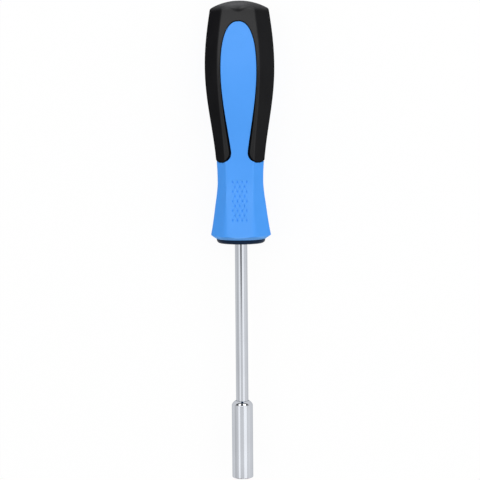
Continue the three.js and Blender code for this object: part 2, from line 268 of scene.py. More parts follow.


# A finish: a group's mask picks between two colours and two roughnesses, and its height makes a fine bump.
# Matt plastics also get a sheen that is strongest where they face the eye, and the handle has a painted
# highlight, a paler colour, at its rear dome and at the guard's rim.
def makeFinish(name, look, group, heightName, maskName):
    material = bpy.data.materials.new(name)
    material.use_nodes = True
    tree = material.node_tree
    shader = tree.nodes["Principled BSDF"]
    for socket, value in look["shader"].items():
        shader.inputs[socket].default_value = value
    place = addNode(tree, "ShaderNodeTexCoord")
    detail = addNode(tree, "ShaderNodeGroup", node_tree=group)
    for socket, value in look["detail"].items():
        detail.inputs[socket].default_value = value
    tint = addNode(tree, "ShaderNodeMix", data_type="RGBA")
    tint.inputs["A"].default_value = (*look["colour"][0], 1)
    tint.inputs["B"].default_value = (*look["colour"][1], 1)
    least, most = look["roughness"]
    gloss = addNode(tree, "ShaderNodeMapRange", {"To Min": least, "To Max": most})
    strength, depth = look["bump"]
    bump = addNode(tree, "ShaderNodeBump", {"Strength": strength, "Distance": depth * mm})
    surface = tint
    # A painted highlight: the colour steps to a paler one towards one end of the handle.
    if "paintedHighlight" in look:
        start, full, colour = look["paintedHighlight"]
        reach = {"Start": (rearY - start) * mm, "Full": (rearY - full) * mm}
        highlightShare = addNode(tree, "ShaderNodeGroup", reach, node_tree=paintedHighlightGroup)
        surface = addNode(tree, "ShaderNodeMix", data_type="RGBA")
        surface.inputs["B"].default_value = (*colour, 1)
        joinNodes(
            tree,
            (place, "Object", highlightShare, "Vector"), (detail, maskName, highlightShare, "Mask"),
            (highlightShare, "Highlight", surface, "Factor"), (tint, "Result", surface, "A"),
        )
    joinNodes(
        tree,
        (place, "Object", detail, "Vector"), (detail, maskName, tint, "Factor"),
        (detail, maskName, gloss, "Value"), (detail, heightName, bump, "Height"),
        (surface, "Result", shader, "Base Color"), (gloss, "Result", shader, "Roughness"),
        (bump, "Normal", shader, "Normal"),
    )
    if "facingCoat" in look:
        square, until = look["facingCoat"]
        facing = addNode(tree, "ShaderNodeLayerWeight")
        sheen = addNode(tree, "ShaderNodeMapRange", {"From Max": until, "To Min": square, "To Max": 0.0})
        joinNodes(tree, (facing, "Facing", sheen, "Value"), (sheen, "Result", shader, "Coat Weight"))
    return material


blueLook = {
    "colour": [(0.0573, 0.317, 0.895), (0.0645, 0.331, 0.925)],
    "roughness": [0.42, 0.50], "bump": [0.12, 0.05], "facingCoat": (0.75, 0.62),
    # Painted highlight: paler blue along the guard's front rim.
    "paintedHighlight": (shellFrontAt - 2.2, shellFrontAt - 1.1, (0.148, 0.385, 0.80)),
    "shader": {"IOR": 1.49, "Specular IOR Level": 0.02, "Metallic": 0.0, "Coat Roughness": 0.35},
    "detail": {"Scale": 5200.0, "Patch Scale": 45.0},
}
softLook = {
    "colour": [(0.0055, 0.0055, 0.0065), (0.0075, 0.0075, 0.0085)],
    "roughness": [0.6, 0.7], "bump": [0.30, 0.06], "facingCoat": (0.54, 0.6),
    # Painted highlight: paler black over the rear dome.
    "paintedHighlight": (5.5, 1.5, (0.122, 0.122, 0.128)),
    "shader": {"IOR": 1.48, "Specular IOR Level": 0.0, "Metallic": 0.0, "Coat Roughness": 0.24},
    "detail": {"Scale": 4200.0, "Patch Scale": 70.0},
}
hardLook = {
    "colour": [(0.0072, 0.0175, 0.0415), (0.0098, 0.0225, 0.051)],
    "roughness": [0.34, 0.44], "bump": [0.10, 0.04],
    "shader": {"IOR": 1.5, "Specular IOR Level": 0.04, "Metallic": 0.0},
    "detail": {"Scale": 5200.0, "Patch Scale": 120.0},
}
chromeLook = {
    "colour": [(0.545, 0.565, 0.605), (0.57, 0.592, 0.632)],
    "roughness": [0.06, 0.09], "bump": [0.05, 0.01],
    "shader": {"Metallic": 1.0, "Specular Tint": (0.72, 0.73, 0.75, 1.0)},
    "detail": {"Stretch": (1.0, 0.02, 1.0), "Scale": 6000.0, "Cloud Scale": 90.0},
}
# Painted shade: the blade's chrome is a darker copy of the sleeve's, in place of the handle's shade seen in
# its reflections.
shadedBladeLook = {**chromeLook, "colour": [(0.512, 0.531, 0.569), (0.536, 0.556, 0.594)]}
nickelLook = {
    "colour": [(0.50, 0.48, 0.45), (0.56, 0.54, 0.51)],
    "roughness": [0.22, 0.34], "bump": [0.10, 0.01],
    "shader": {"Metallic": 1.0},
    "detail": {"Stretch": (1.0, 1.0, 0.05), "Scale": 5000.0, "Cloud Scale": 300.0},
}
springLook = {
    "colour": [(0.36, 0.37, 0.39), (0.43, 0.44, 0.46)],
    "roughness": [0.22, 0.36], "bump": [0.10, 0.01],
    "shader": {"Metallic": 1.0},
    "detail": {"Stretch": (1.0, 0.3, 1.0), "Scale": 5000.0, "Cloud Scale": 400.0},
}
bluePlastic = makeFinish("satinBlue", blueLook, grainGroup, "Height", "Patches")
softBlack = makeFinish("softTouchBlack", softLook, grainGroup, "Height", "Patches")
hardBlack = makeFinish("collarBlack", hardLook, grainGroup, "Height", "Patches")
chromePlate = makeFinish("chromePlate", chromeLook, polishGroup, "Lines", "Clouds")
shadedBladeChrome = makeFinish("shadedBladeChrome", shadedBladeLook, polishGroup, "Lines", "Clouds")
magnetNickel = makeFinish("magnetNickel", nickelLook, polishGroup, "Lines", "Clouds")
springWire = makeFinish("springWire", springLook, polishGroup, "Lines", "Clouds")
print("finishes made, materials now in the file:", len(bpy.data.materials))


# Handle form

handleForm = {
    "rearHalfWidth": 13.2, "bellyHalfWidth": 16.41, "neckHalfWidth": 11.05, "guardHalfWidth": 14.97,
    "bellyAt": 31.2, "neckAt": 85.0, "guardAt": 110.8, "flareBend": 0.4,
    "rearFacetShare": 0.542, "gripFacetShare": 0.6, "guardFacetShare": 0.48, "facetFullAt": 26.0,
    "cornerRound": 0.6, "guardCornerRound": 4.2, "guardRoundFrom": 94.0, "leastRound": 0.5,
    "domeRadius": 27.5, "domeProud": 0.25, "domeTurnAt": 9.5,
    "rearSoft": 0.7, "windowRearSoft": 4.0, "windowSoftReach": 0.45,
    "lipRadius": 11.88, "lipInset": 0.25, "bevelSlope": 1.5, "bevelSoft": 0.3, "lipSoft": 0.3,
}
bodyFrontAt = shellFrontAt - handleForm["lipInset"]


# Half-width along the handle: a sine rise to the belly, a cosine fall to the neck, then a hyperbola that
# opens into the guard.
def halfWidthAt(station):
    f = handleForm
    rise = np.sin(np.pi / 2 * np.clip(station / f["bellyAt"], 0, 1))
    fall = (1 - np.cos(np.pi * (station - f["bellyAt"]) / (f["neckAt"] - f["bellyAt"]))) / 2
    along = np.maximum(station - f["neckAt"], 0) / (f["guardAt"] - f["neckAt"])
    opening = (np.hypot(1, along / f["flareBend"]) - 1) / (math.hypot(1, 1 / f["flareBend"]) - 1)
    rear = lerp(f["rearHalfWidth"], f["bellyHalfWidth"], rise)
    waist = lerp(f["bellyHalfWidth"], f["neckHalfWidth"], fall)
    flare = lerp(f["neckHalfWidth"], f["guardHalfWidth"], opening)
    return np.where(station <= f["bellyAt"], rear, np.where(station <= f["neckAt"], waist, flare))


# Apothems of the window sides and of the lobe sides of the section at a station.
def sideApothems(station):
    f = handleForm
    towardsGuard = np.clip((station - f["neckAt"]) / (f["guardAt"] - f["neckAt"]), 0, 1)
    share = lerp(f["rearFacetShare"], f["gripFacetShare"], smoothStep(0.0, f["facetFullAt"], station))
    share = lerp(share, f["guardFacetShare"], towardsGuard)
    lean = np.arctan2(share * sin60, 1 - share / 2)
    corner = halfWidthAt(station) / np.sin(2 * sixth - lean)
    return corner * np.cos(lean), corner * np.cos(sixth - lean)


# Angle to the middle of the nearest window side.
def windowFold(azimuth):
    return np.abs((azimuth + sixth) % (2 * sixth) - sixth)


# Radius of the rounded hexagon in a direction: a side's apothem over the cosine of the angle to it, and
# on a corner the far crossing of the ray with the corner's circle.
def sectionRadius(azimuth, station, grow):
    f = handleForm
    towardsGuard = smoothStep(f["guardRoundFrom"], f["guardAt"], station)
    wide = lerp(f["cornerRound"], f["guardCornerRound"], towardsGuard)
    cornerRound = np.maximum(wide + grow, f["leastRound"])
    windowSide, lobeSide = (apothem + grow for apothem in sideApothems(station))
    here, beyond = windowSide - cornerRound, lobeSide - cornerRound
    windowAcross, lobeAcross = (beyond - here / 2) / sin60, (here - beyond / 2) / sin60
    fold = windowFold(azimuth)
    offset = fold - np.arctan2(windowAcross, here)
    reach = np.hypot(here, windowAcross)
    chord = np.sqrt(np.maximum(cornerRound**2 - (reach * np.sin(offset)) ** 2, 0))
    onCorner = reach * np.cos(offset) + chord
    onWindow, onLobe = windowSide / np.cos(fold), lobeSide / np.cos(sixth - fold)
    windowEnd, lobeEnd = np.arctan2(windowAcross, windowSide), sixth - np.arctan2(lobeAcross, lobeSide)
    return np.where(fold < windowEnd, onWindow, np.where(fold > lobeEnd, onLobe, onCorner))


# Radius and station of the handle's skin. Behind the turn station, rays from a point on the axis run to
# the nearer of the dome's sphere and the side, blended most over the windows; the side's distance along a ray
# is found by repeated fixing. In front of it, the side is cut by the guard's cone, which ends in a round lip.
def skinProfile(azimuth, along, grow, fixes=8):
    f = handleForm
    angle = np.clip(along / f["domeTurnAt"], 0, 1) * np.pi / 2
    sine, cosine = np.maximum(np.sin(angle), tiny), np.cos(angle)
    offset = f["domeTurnAt"] - f["domeRadius"]
    domeRadius = f["domeRadius"] + grow - f["domeProud"]
    toDome = offset * cosine + np.sqrt(domeRadius**2 - (offset * np.sin(angle)) ** 2)
    toSide = sectionRadius(azimuth, f["domeTurnAt"], grow) / sine
    for _ in range(fixes):
        toSide = sectionRadius(azimuth, np.maximum(f["domeTurnAt"] - toSide * cosine, 0), grow) / sine
    fromWindow = smoothStep(0.0, f["windowSoftReach"], windowFold(azimuth) / sixth)
    soft = lerp(f["windowRearSoft"], f["rearSoft"], fromWindow)
    reach = softMin(toDome, toSide, soft)
    cone = (bodyFrontAt - along) * f["bevelSlope"]
    cone = f["lipRadius"] - softMin(-cone, 0.0, f["lipSoft"]) + grow
    side = softMin(sectionRadius(azimuth, along, grow), cone, f["bevelSoft"])
    infront = along >= f["domeTurnAt"]
    radius = np.where(infront, side, reach * np.sin(angle))
    station = np.where(infront, along, f["domeTurnAt"] - reach * cosine)
    return radius, station


def skinPoint(azimuth, along, grow):
    radius, station = skinProfile(azimuth, along, grow)
    return axisPoint(azimuth, station, radius)


# Outward normal of the skin, from small steps along and round the handle.
def skinNormal(azimuth, along, grow, step=0.002):
    byAlong = skinPoint(azimuth, along + step, grow) - skinPoint(azimuth, along - step, grow)
    byTurn = skinPoint(azimuth + step, along, grow) - skinPoint(azimuth - step, along, grow)
    normal = np.cross(byAlong, byTurn)
    return normal / np.linalg.norm(normal, axis=-1, keepdims=True)


# Angle from a side's middle at which the skin lies a given distance across, found by halving.
def angleAcross(middle, distance, along, grow, halvings=40):
    low, high = np.zeros(np.shape(distance)), np.full(np.shape(distance), sixth)
    for _ in range(halvings):
        angle = (low + high) / 2
        short = skinProfile(middle + angle, along, grow)[0] * np.sin(angle) < distance
        low, high = np.where(short, angle, low), np.where(short, high, angle)
    return (low + high) / 2


# Grip

gripForm = {
    "windowTop": 10.2, "windowArch": 22.9, "archPower": 2.35, "windowHalfWidth": 8.52,
    "ease": 12.0, "slope": 0.138, "tongueStartAt": 70.35,
    "tongueHalfWidth": 6.35, "tongueLength": 6.2, "tonguePower": 2.5,
    "proud": 0.25, "thickness": 2.2, "lip": 0.5, "seatGap": 0.12, "bodyEdge": 0.2,
    "columns": 109, "innerColumns": 33, "domeRows": 64, "archRows": 30, "archReach": 0.75,
    "sideRows": 62, "tongueRows": 25, "rollRows": 6, "curveSteps": 400,
}
gripForm["widestAt"] = gripForm["windowTop"] + gripForm["windowArch"]


# Half-width of a window seen square to it: a superellipse from its top to the widest station, then a
# cubic curve that narrows to the waist between two tongues.
def windowHalf(station, gap):
    e = gripForm
    half, arch = e["windowHalfWidth"] - gap, e["windowArch"] - gap
    up = np.clip((e["widestAt"] - station) / arch, 0, 1)
    rear = half * (1 - up ** e["archPower"]) ** (1 / e["archPower"])
    flat = sideApothems(e["tongueStartAt"])[0] + e["proud"]
    waist = (flat * sin60 - e["tongueHalfWidth"] - gap) / cos60
    t = np.linspace(0, 1, e["curveSteps"])
    weights = (1 - t) ** 3, 3 * t * (1 - t) ** 2, 3 * t**2 * (1 - t), t**3
    stops = (e["widestAt"], e["widestAt"] + e["ease"], e["tongueStartAt"] - e["ease"], e["tongueStartAt"])
    halves = (half, half, waist + e["slope"] * e["ease"], waist)
    curve = [sum(w * value for w, value in zip(weights, values)) for values in (stops, halves)]
    return np.where(station <= e["widestAt"], rear, np.interp(station, *curve))


# Stations down a window's edge: even steps across while the arch is flat, even steps along the sides and
# even turns round the tongue's end.
def edgeStations(gap):
    e = gripForm
    arch = e["windowArch"] - gap
    across = np.linspace(0, e["archReach"], e["archRows"]) ** e["archPower"]
    top = e["widestAt"] - arch * (1 - across) ** (1 / e["archPower"])
    sides = np.linspace(top[-1], e["tongueStartAt"], e["sideRows"])[1:]
    turn = np.linspace(0, np.pi / 2, e["tongueRows"])[1:]
    ends = (e["tongueLength"] + gap) * np.sin(turn) ** (2 / e["tonguePower"])
    return np.concatenate([top, sides, e["tongueStartAt"] + ends])


# Distance across a lobe from its middle, from the distance measured round the section: past the ridge the
# window side leans away by 60 degrees, so that half of it counts.
def foldedAcross(distance, ridge):
    return np.minimum(distance, (distance + ridge) / 2)


# Angle from a window's middle to the grip's edge at the stations of that edge. Each tongue ends in half of
# a superellipse, laid round the section.
def edgeAngles(stations, gap, grow):
    e = gripForm
    fromWindow = angleAcross(0.0, windowHalf(stations, gap), stations, grow)
    beyond = np.clip((stations - e["tongueStartAt"]) / (e["tongueLength"] + gap), 0, 1)
    windowSide, lobeSide = (apothem + grow for apothem in sideApothems(e["tongueStartAt"]))
    ridge = (windowSide - lobeSide / 2) / sin60
    half = e["tongueHalfWidth"] + gap + (grow - e["proud"]) * sin60
    around = (2 * half - ridge) * (1 - beyond ** e["tonguePower"]) ** (1 / e["tonguePower"])
    fromLobe = angleAcross(sixth, foldedAcross(around, ridge), stations, grow)
    angles = np.where(stations <= e["tongueStartAt"], fromWindow, sixth - fromLobe)
    angles[0], angles[-1] = 0.0, sixth
    return angles


# The whole closed edge of the grip as azimuths and stations: down one side of each tongue and up the
# other.
def edgeLoop(stations, angles):
    turns, places = [], []
    for lobe in lobeTurns:
        down, back = lobe - sixth + angles, lobe + sixth - angles
        turns += [down, back[::-1][1:-1]]
        places += [stations, stations[::-1][1:-1]]
    return np.concatenate(turns), np.concatenate(places)


# Rolled edge: from a loop on the skin, a quarter round outwards and down, then a wall to a lower loop.
# Towards is 1 on the grip, whose edge rolls towards the window, and -1 on the body.
def edgeWall(loop, grow, lowerLoop, lowerGrow, roundness, towards):
    rim, normal = skinPoint(*loop, grow), skinNormal(*loop, grow)
    tangent = np.roll(rim, -1, axis=0) - np.roll(rim, 1, axis=0)
    outward = np.cross(tangent, normal)
    outward *= towards / np.linalg.norm(outward, axis=-1, keepdims=True)
    turn = np.linspace(0, np.pi / 2, gripForm["rollRows"])[:, None, None]
    rolled = rim + roundness * (np.sin(turn) * outward - (1 - np.cos(turn)) * normal)
    wall = np.concatenate([rolled, skinPoint(*lowerLoop, lowerGrow)[None]])
    return np.concatenate([wall, wall[:, :1]], axis=1)


# Patch of the skin over each of three sides: a share from -1 to 1 of the half-angle at every station.
def sidePatches(middles, stations, halfAngles, share, grow):
    turns = halfAngles[:, None] * share[None, :]
    return [skinPoint(middle + turns, stations[:, None], grow) for middle in middles]


# Two layers of skin over the dome and the lobes, joined by the rolled edge.
def buildGrip():
    e = gripForm
    lower = e["proud"] - e["thickness"]
    dome = np.linspace(0, handleForm["domeTurnAt"], e["domeRows"])
    layers, loops = [], []
    for gap, grow, columns in ((-e["lip"], e["proud"], e["columns"]), (0.0, lower, e["innerColumns"])):
        edge = edgeStations(gap)
        angles = edgeAngles(edge, gap, e["proud"])
        stations = np.concatenate([dome, edge])
        halfAngles = np.concatenate([np.full(len(dome), sixth), sixth - angles])
        layers += sidePatches(lobeTurns, stations, halfAngles, np.linspace(-1, 1, columns), grow)
        loops.append(edgeLoop(edge, angles))
    layers.append(edgeWall(loops[0], e["proud"], loops[1], lower, e["lip"], 1))
    makePiece("softGrip", layers, "driver", "grip_overmould", softBlack)


# Core: its values, and the ribbed form that the body's bore shares

core = {
    "stemRadius": 5.5, "stemRear": 26.0, "stemRound": 0.5, "seatGap": 0.3,
    "ribHeight": 0.8, "ribHalfWidth": 0.9, "ribMargin": 7.0, "crownSteps": 6, "sectorSteps": 24,
    "boreGap": 0.1, "boreRear": 37.9, "slotLead": 1.0, "rearGap": 0.15,
    "stemEndRound": 0.1, "frontRound": 1.95, "rearRound": 0.25, "mouthRound": 0.35,
}


# Radius of the core's stem and its six ribs in a direction: the stem's circle, or the nearer of a rib's
# crown and flank where that is larger. Grown by a gap, it is the bore of the body.
def stemReach(azimuth, grow):
    c = core
    offset = np.abs((azimuth + sixth / 2) % sixth - sixth / 2)
    crown = (c["stemRadius"] + c["ribHeight"] + grow) / np.cos(offset)
    flank = (c["ribHalfWidth"] + grow) / np.maximum(np.sin(offset), tiny)
    return np.maximum(c["stemRadius"] + grow, np.minimum(crown, flank))


# Angles from the middle of one rib to the next, with columns on the edges of their flanks.
def ribSector(steps, grow):
    c = core
    half = c["ribHalfWidth"] + grow
    crownEnd = math.atan(half / (c["stemRadius"] + c["ribHeight"] + grow))
    crown = np.linspace(0, crownEnd, c["crownSteps"] + 1)
    gap = np.linspace(math.asin(half / (c["stemRadius"] + grow)), sixth / 2, steps // 2 - c["crownSteps"])
    near = np.concatenate([crown, gap])
    return np.concatenate([near, sixth - near[::-1][1:]])


# Stations at which the ribs begin and end.
def ribEnds(grow):
    return core["stemRear"] + core["ribMargin"] - grow, shellFrontAt - core["ribMargin"] + grow


# Body

bodyForm = {
    "pitchAcross": 2.26, "pitchAlong": 4.47, "restFrom": 85.66, "rowSteps": 8, "acrossSteps": 1.5,
    "grooveDepth": 0.15, "crossingDepth": 0.31, "grooveHalfWidth": 0.38,
    "sideFade": (-0.35, 0.1), "endFade": (-1.0, -0.5),
    "neckStep": 0.9, "restMargin": 1.2, "rowsPerPitch": 28, "flareStep": 0.4,
    "bevelLength": 3.15, "bevelRows": 36, "seatRadius": 9.0, "seatColumns": 25, "seatDomeRows": 20,
    "innerColumns": 30, "outerColumns": 14, "innerReach": 4.2, "innerShare": 0.72,
}
bodyForm["restLength"] = bodyForm["rowSteps"] * bodyForm["pitchAlong"] / 2


# Crossing V grooves of a thumb rest: two slanted families of lines, each with a depth that falls off with
# the distance to its nearest line, and a pit where two lines cross, inside a box of whole diamonds.
def thumbGrooves(across, station):
    b = bodyForm
    lengthwise = (station - b["restFrom"]) / b["pitchAlong"]
    sideways = across / b["pitchAcross"]
    families = (sideways + lengthwise + 0.5, sideways - lengthwise + 0.5)
    perUnit = math.hypot(1 / b["pitchAcross"], 1 / b["pitchAlong"])
    distances = (np.abs(family - np.round(family)) / perUnit for family in families)
    one, other = (np.clip(1 - distance / b["grooveHalfWidth"], 0, 1) for distance in distances)
    halfLength = b["restLength"] / 2
    fromMiddle = np.abs(station - b["restFrom"] - halfLength)
    inside = smoothStep(*b["sideFade"], b["acrossSteps"] * b["pitchAcross"] - np.abs(across))
    inside = inside * smoothStep(*b["endFade"], halfLength - fromMiddle)
    return (b["grooveDepth"] * (one + other) + b["crossingDepth"] * np.minimum(one, other)) * inside


# Body stations in front of the tongues: wide steps on the neck, fine ones on the thumb rests and round
# the guard's bevel.
def bodyStations():
    b, e = bodyForm, gripForm
    tip = e["tongueStartAt"] + e["tongueLength"] + e["seatGap"] + e["bodyEdge"]
    restFrom = b["restFrom"] - b["restMargin"]
    restTo = b["restFrom"] + b["restLength"] + b["restMargin"]
    bevelFrom = bodyFrontAt - b["bevelLength"]
    neck = np.arange(tip + b["neckStep"], restFrom, b["neckStep"])
    rest = np.arange(restFrom, restTo, b["pitchAlong"] / b["rowsPerPitch"])
    flare = np.arange(rest[-1] + b["flareStep"], bevelFrom, b["flareStep"])
    bevel = np.linspace(bevelFrom, bodyFrontAt, b["bevelRows"])
    return np.concatenate([neck, rest, flare, bevel])


# Azimuths across one third of the body: even steps across in its middle, where the thumb rest is, and even
# turns from there to the edge.
def bodyTurns(stations, halfAngles):
    b = bodyForm
    edgeAcross = skinProfile(halfAngles, stations, 0.0)[0] * np.sin(halfAngles)
    reach = np.minimum(b["innerReach"], b["innerShare"] * edgeAcross)
    inner = np.linspace(0, 1, b["innerColumns"] + 1)
    outer = np.linspace(0, 1, b["outerColumns"] + 1)[1:]
    innerAngles = angleAcross(0.0, reach[:, None] * inner, stations[:, None], 0.0)
    outerAngles = lerp(innerAngles[:, -1:], halfAngles[:, None], outer)
    side = np.concatenate([innerAngles, outerAngles], axis=1)
    side[:, 0], side[:, -1] = 0.0, halfAngles
    return np.concatenate([-side[:, ::-1], side[:, 1:]], axis=1)


# Bore for the core across one third of the body: round, then with slots for the ribs, round again and
# closed at its end.
def boreGrid(window, steps):
    gap = core["seatGap"]
    ribFrom, ribTo = ribEnds(gap)
    end = core["stemRear"] - gap
    sector = ribSector(steps, gap)
    turns = np.concatenate([-sector[::-1], sector[1:]])
    stations = np.array([bodyFrontAt, ribTo, ribTo, ribFrom, ribFrom, end, end])[:, None]
    ribbed = np.array([0, 0, 1, 1, 0, 0, 0])[:, None]
    reach = lerp(core["stemRadius"] + gap, stemReach(turns, gap), ribbed)
    reach[-1] = 0
    return axisPoint(window + turns, stations, reach)


# Skin with its grooves, front seat and bore for each third, then the seat of the grip and its edge.
def buildBody():
    b, e = bodyForm, gripForm
    gap, depth = e["seatGap"] + e["bodyEdge"], e["proud"] - e["thickness"] - e["seatGap"]
    edge, lowerEdge = edgeStations(gap), edgeStations(e["seatGap"])
    angles, lowerAngles = edgeAngles(edge, gap, 0.0), edgeAngles(lowerEdge, e["seatGap"], 0.0)
    front = bodyStations()
    stations = np.concatenate([edge, front])
    turns = bodyTurns(stations, np.concatenate([angles, np.full(len(front), sixth)]))
    layers = []
    for window in windowTurns:
        radius, place = skinProfile(window + turns, stations[:, None], 0.0)
        grooves = thumbGrooves(radius * np.sin(turns), place)
        skin = axisPoint(window + turns, place, radius)
        skin = skin - grooves[..., None] * skinNormal(window + turns, stations[:, None], 0.0)
        seat = axisPoint(window + turns[-1:], bodyFrontAt, b["seatRadius"])
        layers.append(np.concatenate([skin, seat, boreGrid(window, turns.shape[1] // 2)]))
    dome = np.linspace(0, handleForm["domeTurnAt"], b["seatDomeRows"])
    seatStations = np.concatenate([dome, lowerEdge])
    seatAngles = np.concatenate([np.full(len(dome), sixth), sixth - lowerAngles])
    layers += sidePatches(lobeTurns, seatStations, seatAngles, np.linspace(-1, 1, b["seatColumns"]), depth)
    upper, lower = edgeLoop(edge, angles), edgeLoop(lowerEdge, lowerAngles)
    layers.append(edgeWall(upper, 0.0, lower, depth, e["bodyEdge"], -1))
    makePiece("blueBody", layers, "driver", "handle_shell", bluePlastic)


buildGrip()
buildBody()

# Blade

blade = {
    "rear": rearY - bladeBox[1][1], "front": rearY - bladeBox[0][1], "chamfer": 0.5, "steps": 144,
    "wingHalf": 4.2, "wingThickness": 1.3, "wingFrom": 50.0, "wingTo": 66.0, "wingTaper": 3.5,
    "wingRows": 60, "shankRows": 40,
}


# The larger of a round bar's radius and the reach of the wings: a flat bar whose half-span tapers at both
# ends. Grown by a gap, the wings are the slot of the core.
def wingedReach(azimuth, station, radius, grow):
    b = blade
    inside = np.minimum(station - b["wingFrom"], b["wingTo"] - station) + grow
    taper = np.clip(inside / b["wingTaper"], 0, 1)
    toTip = (b["wingHalf"] + grow) * taper / np.maximum(np.abs(np.sin(azimuth)), tiny)
    toFace = (b["wingThickness"] + grow) / np.maximum(np.abs(np.cos(azimuth)), tiny)
    return np.maximum(radius, np.where(taper > 0, np.minimum(toTip, toFace), 0))


# Round bar carried along the axis, with wings pressed out of its tang.
def buildBlade():
    b = blade
    ends = roundedProfile([
        (0, b["rear"], 0), (bladeRadius, b["rear"], b["chamfer"]), (bladeRadius, b["wingFrom"], 0),
    ])
    wings = np.linspace(b["wingFrom"], b["wingTo"], b["wingRows"])[1:]
    shank = np.linspace(b["wingTo"], b["front"] - b["chamfer"], b["shankRows"])[1:]
    bar = np.concatenate([wings, shank])
    tip = np.array([(bladeRadius - b["chamfer"], b["front"]), (0, b["front"])])
    profile = np.concatenate([ends, np.stack([np.full(len(bar), bladeRadius), bar], -1), tip])
    azimuth = fullTurn(b["steps"])[None, :]
    radius, station = profile[:, :1], profile[:, 1:]
    grid = axisPoint(azimuth, station, wingedReach(azimuth, station, radius, 0.0))
    makePiece("roundBlade", [grid], "driver", "blade_shaft", shadedBladeChrome)


# Core: a turned stem with ribs, the turned front collar, and a bore with a slot for the blade's wings.
def buildCollar():
    c = core
    stem, bore = c["stemRadius"], bladeRadius + c["boreGap"]
    rearAt = bodyFrontAt + c["rearGap"]
    ribFrom, ribTo = ribEnds(0.0)
    sector = ribSector(c["sectorSteps"], 0.0)
    azimuth = np.append(np.add.outer(sixth * np.arange(6), sector[:-1]), 2 * np.pi)
    stemRear = roundedProfile([
        (0, c["stemRear"], 0), (stem, c["stemRear"], c["stemRound"]), (stem, ribFrom, 0),
    ])
    front = roundedProfile([
        (stem, ribTo, 0), (stem, rearAt, c["stemEndRound"]), (collarRadius, rearAt, c["rearRound"]),
        (collarRadius, collarFrontAt, c["frontRound"]), (bore, collarFrontAt, c["mouthRound"]),
        (bore, blade["wingTo"] + c["slotLead"], 0),
    ])
    ribs = axisPoint(azimuth, np.array([[ribFrom], [ribTo]]), stemReach(azimuth, 0.0))
    slotStations = np.linspace(blade["wingTo"], blade["wingFrom"], blade["wingRows"])[:, None]
    slot = axisPoint(azimuth, slotStations, wingedReach(azimuth, slotStations, bore, c["boreGap"]))
    boreEnd = np.array([(bore, c["boreRear"]), (0, c["boreRear"])])
    grid = np.concatenate([
        turnedGrid(stemRear, azimuth), ribs, turnedGrid(front, azimuth), slot, turnedGrid(boreEnd, azimuth),
    ])
    makePiece("frontCollar", [grid], "driver", "handle_core", hardBlack)


buildBlade()
buildCollar()

# Holder: sleeve with a hexagon socket, magnet and spring ring

sleeve = {
    "boreGap": 0.1, "shoulderFlat": 0.25, "shoulderRadius": 4.4, "shoulderDrops": (0.8, 1.95),
    "shoulderRounds": (0.55, 0.35), "mouthRound": 0.45, "rearRound": 0.15, "sharpAngle": 30,
    "socketApothem": 3.225, "cornerTrim": 0.985, "socketDepth": 15.5, "leadIn": 0.3,
    "grooveRadius": 4.4, "grooveHalf": 0.7, "pocketGap": 0.3, "steps": 144, "coneRows": 14, "edgeStep": 0.02,
}
ringAt = rearY - (ringBox[0][1] + ringBox[1][1]) / 2
magnetRadius = (magnetBox[1][0] - magnetBox[0][0]) / 2
magnetRear, magnetFront = rearY - magnetBox[1][1], rearY - magnetBox[0][1]


# Outside is a turned profile; inside, each station has the larger of a hexagon (apothem over the cosine,
# corners trimmed) and a circle that is the lead-in cone, the ring's groove or nothing.
def buildSleeve():
    s = sleeve
    bore = bladeRadius + s["boreGap"]
    flat = bore + s["shoulderFlat"]
    breakAt, shoulderAt = (sleeveRearAt + drop for drop in s["shoulderDrops"])
    breakRound, shoulderRound = s["shoulderRounds"]
    socketCorner = s["socketApothem"] / sin60
    lead = socketCorner + s["leadIn"]
    outside = roundedProfile([
        (bore, magnetRear, 0), (bore, sleeveRearAt, s["rearRound"]), (flat, sleeveRearAt, s["rearRound"]),
        (s["shoulderRadius"], breakAt, breakRound), (sleeveRadius, shoulderAt, shoulderRound),
        (sleeveRadius, mouthAt, s["mouthRound"]), (lead, mouthAt, 0),
    ])
    floorAt = mouthAt - s["socketDepth"]
    leadEnd = mouthAt - (lead - s["socketApothem"])
    step = s["edgeStep"]
    grooveFrom, grooveTo = ringAt + s["grooveHalf"], ringAt - s["grooveHalf"]
    cone = np.linspace(mouthAt - step, leadEnd, s["coneRows"])
    socket = [grooveFrom + step, grooveFrom, grooveTo, grooveTo - step, floorAt + step, floorAt]
    stations = np.concatenate([cone, socket])
    circles = np.concatenate([lead - (mouthAt - cone), [0, s["grooveRadius"], s["grooveRadius"], 0, 0, 0]])
    azimuth = fullTurn(s["steps"])
    hexagon = s["socketApothem"] / np.cos(azimuth % sixth - sixth / 2)
    hexagon = np.minimum(hexagon, socketCorner * s["cornerTrim"])
    inside = axisPoint(azimuth, stations[:, None], np.maximum(hexagon, circles[:, None]))
    pocket, pocketRear = magnetRadius + s["pocketGap"], magnetRear - s["pocketGap"]
    behind = np.array([(pocket, floorAt), (pocket, pocketRear), (bore, pocketRear), (bore, magnetRear)])
    grid = np.concatenate([turnedGrid(outside, azimuth), inside, turnedGrid(behind, azimuth)])
    makePiece("bitSleeve", [grid], "driver", "holder_sleeve", chromePlate, s["sharpAngle"])


magnet = {"edge": 0.3, "steps": 96}


# Turned disc with rounded edges.
def buildMagnet():
    edge = magnet["edge"]
    profile = roundedProfile([
        (0, magnetRear, 0), (magnetRadius, magnetRear, edge),
        (magnetRadius, magnetFront, edge), (0, magnetFront, 0),
    ])
    grid = turnedGrid(profile, fullTurn(magnet["steps"]))
    makePiece("socketMagnet", [grid], "driver", "holder_magnet", magnetNickel)


springRing = {
    "wireRadius": 0.4, "opening": math.radians(40), "pathSteps": 120, "sectionSteps": 20, "endSteps": 6,
}


